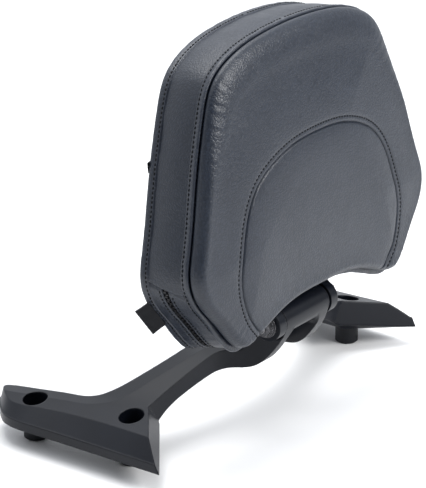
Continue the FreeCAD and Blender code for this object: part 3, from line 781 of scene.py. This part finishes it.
def back_depth(uv):
    d, _ = nearest(uv, REAR)
    bulge = BACK_BULGE * (1 - np.exp(-d / 16.0))
    return DEPTH - 0.4 + bulge + 0.2 * waves(uv[:, 0], 30, 90, 4, 31) * smooth(d, 2, 20)


def back_cover():
    rows = []
    rim = REAR - REAR_NORMAL * BACK_INSET
    for x in towards_edge(BACK_ROWS)[::-1]:
        uv = BACK_CENTRE + (rim - BACK_CENTRE) * max(x, 0.01)
        w = back_depth(uv) if x < 0.999 else np.full(SAMPLES, BACK_EDGE_W)
        rows.append(np.stack([uv[:, 0], w, uv[:, 1]], 1))
    faces = grid_faces(len(rows), SAMPLES, wrap=True)
    faces.append(tuple(range((len(rows) - 1) * SAMPLES, len(rows) * SAMPLES)))
    return mesh_object("back_cover", to_world(np.array(rows)).reshape(-1, 3), faces)


soft(back_cover(), VINYL, "vinyl", "back_panel", fill=0.8)


def back_half_width(v):
    """Half width of the back at height v."""
    half = REAR[:SAMPLES // 2]
    side = half[half[:, 0] > 20]
    rising = np.argsort(side[:, 1])
    return np.interp(v, side[rising, 1], side[rising, 0])


def pocket_seam():
    """The sewn edge of the pocket: the rear outline below the pocket's top."""
    line = REAR - REAR_NORMAL * 0.8
    below = np.where(line[:, 1] < POCKET_TOP)[0]
    return line[below[0]:below[-1] + 1]


POCKET_HALF = float(back_half_width(POCKET_TOP)) - 0.6
POCKET_SEAM = pocket_seam()
BINDING_HIGH = 8.0
BINDING_PAST = 3.0
BINDING_PROFILE = [
    (-1.5, -8.0), (0.2, -8.2), (0.7, -7.6), (0.8, -4.0), (0.7, -0.8),
    (0.2, 0.0), (-0.8, 0.0), (-1.5, -0.8), (-1.6, -4.0),
]


def pocket_depth(uv):
    """Depth of the loose pocket cloth over the back cover."""
    d, _ = nearest(uv, REAR)
    rise = 3.4 * (1 - np.exp(-(d / 9.0) ** 1.2))
    sag = 0.3 * waves(uv[:, 0] + 0.6 * uv[:, 1], 18, 50, 5, 41) * smooth(d, 3, 20)
    loose = 0.9 * smooth(uv[:, 1], 60, 132) * (1 - np.clip(np.abs(uv[:, 0]) / POCKET_HALF, 0, 1) ** 4)
    return DEPTH + 0.4 + rise + sag + loose


def pocket_row(t):
    """A row of the pocket, from its sewn edge (t = 0) up to its open top (t = 1)."""
    k = np.linspace(0, len(POCKET_SEAM) - 1, POCKET_COLUMNS)
    low = np.stack([np.interp(k, np.arange(len(POCKET_SEAM)), POCKET_SEAM[:, c]) for c in range(2)], 1)
    top = np.stack([POCKET_HALF * (1 - 2 * k / k[-1]), np.full(POCKET_COLUMNS, POCKET_TOP - 7.0)], 1)
    uv = low * (1 - t) + top * t
    return np.stack([uv[:, 0], pocket_depth(uv), uv[:, 1]], 1)


def pocket_cover():
    obj = grid_object("pocket_cover", [pocket_row(t) for t in towards_edge(POCKET_ROWS)])
    thick = obj.modifiers.new("thickness", "SOLIDIFY")
    thick.thickness = 0.0011
    thick.offset = -1.0
    return obj


def pocket_binding():
    """The pocket's bound top edge, a little longer than the pocket is wide."""
    top = pocket_row(1.0)[::-1]
    rows = []
    for depth, height in BINDING_PROFILE:
        row = top.copy()
        row[:, 1] += depth + 0.12 * waves(row[:, 0], 3, 6, 4, 51)
        row[:, 2] += BINDING_HIGH + height
        row[:, 0] *= (POCKET_HALF + BINDING_PAST) / POCKET_HALF
        rows.append(row)
    return grid_object("pocket_edge_binding", rows, flip=True)


soft(pocket_cover(), VINYL, "vinyl", "rear_pocket", fill=0.3)
soft(pocket_binding(), TAPE, "binding", "pocket_binding")

# Stitches: short rounded threads laid along a path

# Along a stitch: place as a share of its length, and radius as a share of the thread's
THREAD_PROFILE = [(-0.5, 0.35), (-0.42, 0.8), (-0.2, 1.0), (0.2, 1.0), (0.42, 0.8), (0.5, 0.35)]
THREAD_SIDES = 6


def thread_faces(base):
    """Faces of one thread whose first vertex has the index base."""
    faces = []
    last = base + (len(THREAD_PROFILE) - 1) * THREAD_SIDES
    for ring in range(base, last, THREAD_SIDES):
        for k in range(THREAD_SIDES):
            m = (k + 1) % THREAD_SIDES
            faces.append((ring + k, ring + m, ring + THREAD_SIDES + m, ring + THREAD_SIDES + k))
    faces.append(tuple(base + k for k in range(THREAD_SIDES))[::-1])
    faces.append(tuple(last + k for k in range(THREAD_SIDES)))
    return faces


def stitches(name, points, outs):
    """Threads along a path. points and outs are dense samples of it, in the pad frame."""
    s = np.concatenate([[0], np.cumsum(np.linalg.norm(np.diff(points, axis=0), axis=1))])

    def at(values, x):
        return np.array([np.interp(x, s, values[:, k]) for k in range(3)])

    verts = []
    faces = []
    for i in range(int(s[-1] / STITCH)):
        middle = (i + 0.5) * STITCH
        centre = at(points, middle)
        along = at(points, middle + 0.4) - at(points, middle - 0.4)
        along /= np.linalg.norm(along)
        out = at(outs, middle)
        out -= along * out.dot(along)
        out /= np.linalg.norm(out)
        side = np.cross(along, out)
        faces += thread_faces(len(verts))
        for x, share in THREAD_PROFILE:
            ring = centre + along * x * STITCH * THREAD_SHARE
            radius = THREAD_RADIUS * share
            drop = THREAD_SINK + 0.32 * (2 * x) ** 4
            for k in range(THREAD_SIDES):
                a = 2 * math.pi * k / THREAD_SIDES
                verts.append(ring + out * (radius * math.sin(a) - drop) + side * radius * math.cos(a) * 1.15)
    soft(mesh_object(name, to_world(np.array(verts)), faces), THREAD, "seam")


def side_stitches(name, w, start, end, height):
    s = np.linspace(start, end, PATH_SAMPLES)
    p = side_row(s, w, height)
    q = side_row(s, w, height + 1.0)
    stitches(name, p, q - p)


def zip_stitches(name, w):
    start = float(cross_s(w)) + 1.5
    side_stitches(name, w, start, PERIMETER - start, 0.55)


def panel_stitches():
    """The top-stitch outside the crease, as far as it stays clear of the outer seam."""
    d = np.gradient(CREASE, axis=0)
    d /= np.linalg.norm(d, axis=1)[:, None]
    away = np.stack([-d[:, 1], d[:, 0]], 1)
    if np.mean((away * (CREASE - FOCUS)).sum(1)) < 0:
        away = -away
    path = CREASE + away * STITCH_IN
    depth, _ = nearest(path, OUTLINE)
    within = np.linalg.norm(path - FOCUS, axis=1) < seen_from_focus(path, R_OUT) - 0.6
    path = path[within & (depth > 1.2)]
    points = np.stack([path[:, 0], crown(path), path[:, 1]], 1)
    e = 0.4
    slope_u = (crown(path + [e, 0]) - crown(path - [e, 0])) / (2 * e)
    slope_v = (crown(path + [0, e]) - crown(path - [0, e])) / (2 * e)
    outs = np.stack([slope_u, -np.ones(len(path)), slope_v], 1)
    outs /= np.linalg.norm(outs, axis=1)[:, None]
    stitches("panel_topstitch", points + outs * 0.25, outs)


side_stitches("front_topstitch", FRONT_STITCH_W, 0.0, PERIMETER, 1.05)
side_stitches("rear_topstitch", REAR_STITCH_W, 0.0, PERIMETER, 1.05)
zip_stitches("zip_front_topstitch", ZIP_LOW - STRIP_STITCH_IN)
zip_stitches("zip_rear_topstitch", ZIP_HIGH + STRIP_STITCH_IN)
panel_stitches()

# Floor, light and camera, in metres

FLOOR_SIZE = 14.0
ROOM_DIM = 0.03
ROOM_BRIGHT = 1.15
ROOM_UP = (0.35, 0.60, 0.72)
ROOM_COLOUR = (0.95, 0.98, 1.03, 1)
OVERHEAD_W = 17.0
CORNER_W = 19.0


def floor():
    bpy.ops.mesh.primitive_plane_add(size=FLOOR_SIZE, location=(0, 0, -0.0002))
    obj = bpy.context.object
    obj.name = "studio_floor"
    mat, nt, bsdf, coord = new_material("studio_floor")
    n = noise(nt, coord, scale=3.0, detail=2.0)
    colour = mix_colour(nt, n.outputs["Fac"], (0.90, 0.90, 0.90), (0.93, 0.93, 0.93))
    nt.links.new(colour, bsdf.inputs["Base Color"])
    bsdf.inputs["Roughness"].default_value = 0.6
    obj.data.materials.append(mat)


def area(name, location, target, size, power):
    light = bpy.data.lights.new(name, "AREA")
    light.shape = "RECTANGLE"
    light.size = size
    light.size_y = size
    light.energy = power
    obj = bpy.data.objects.new(name, light)
    bpy.context.collection.objects.link(obj)
    obj.location = location
    obj.rotation_mode = "QUATERNION"
    obj.rotation_quaternion = (Vector(target) - Vector(location)).to_track_quat("-Z", "Y")


def room():
    """A pale room: bright overhead and behind the object, dimmer on the side it is seen from."""
    world = bpy.data.worlds.new("studio")
    bpy.context.scene.world = world
    world.use_nodes = True
    nt = world.node_tree
    direction = nt.nodes.new("ShaderNodeTexCoord")
    towards = node(nt, "ShaderNodeVectorMath", operation="DOT_PRODUCT")
    towards.inputs[1].default_value = ROOM_UP
    nt.links.new(direction.outputs["Generated"], towards.inputs[0])
    limits = {"From Min": -0.35, "From Max": 0.75, "To Min": ROOM_DIM, "To Max": ROOM_BRIGHT}
    ramp = node(nt, "ShaderNodeMapRange", interpolation_type="SMOOTHSTEP", **limits)
    nt.links.new(towards.outputs["Value"], ramp.inputs["Value"])
    background = nt.nodes["Background"]
    nt.links.new(ramp.outputs[0], background.inputs["Strength"])
    background.inputs["Color"].default_value = ROOM_COLOUR


floor()
room()
area("overhead", (0.15, 0.35, 1.5), (0, 0, 0.1), 1.0, OVERHEAD_W)
area("corner", (0.25, -1.2, 0.98), (-0.08, -0.06, 0.25), 0.6, CORNER_W)
bpy.context.scene.view_settings.view_transform = "Standard"

# Camera fitted to the feet, spacers and holes in the photo
CAMERA_TURN = math.radians(52.86)
CAMERA_RISE = math.radians(21.81)
CAMERA_FAR = 2.084
CAMERA_RIGHT = -0.02378
CAMERA_UP = 0.11617
FOCAL_PX = 2754.0
PHOTO_HIGH_PX = 488.0
SENSOR = 36.0


def camera():
    flat = math.cos(CAMERA_RISE)
    back = Vector((-math.sin(CAMERA_TURN) * flat, -math.cos(CAMERA_TURN) * flat, math.sin(CAMERA_RISE)))
    right = Vector((math.cos(CAMERA_TURN), -math.sin(CAMERA_TURN), 0))
    up = back.cross(right)
    data = bpy.data.cameras.new("camera")
    data.lens = FOCAL_PX * SENSOR / PHOTO_HIGH_PX
    data.sensor_width = SENSOR
    data.clip_start = 0.05
    data.clip_end = 60.0
    cam = bpy.data.objects.new("camera", data)
    bpy.context.collection.objects.link(cam)
    cam.location = back * CAMERA_FAR + right * CAMERA_RIGHT + up * CAMERA_UP
    cam.rotation_mode = "QUATERNION"
    cam.rotation_quaternion = (-back).to_track_quat("-Z", "Y")
    bpy.context.scene.camera = cam


camera()
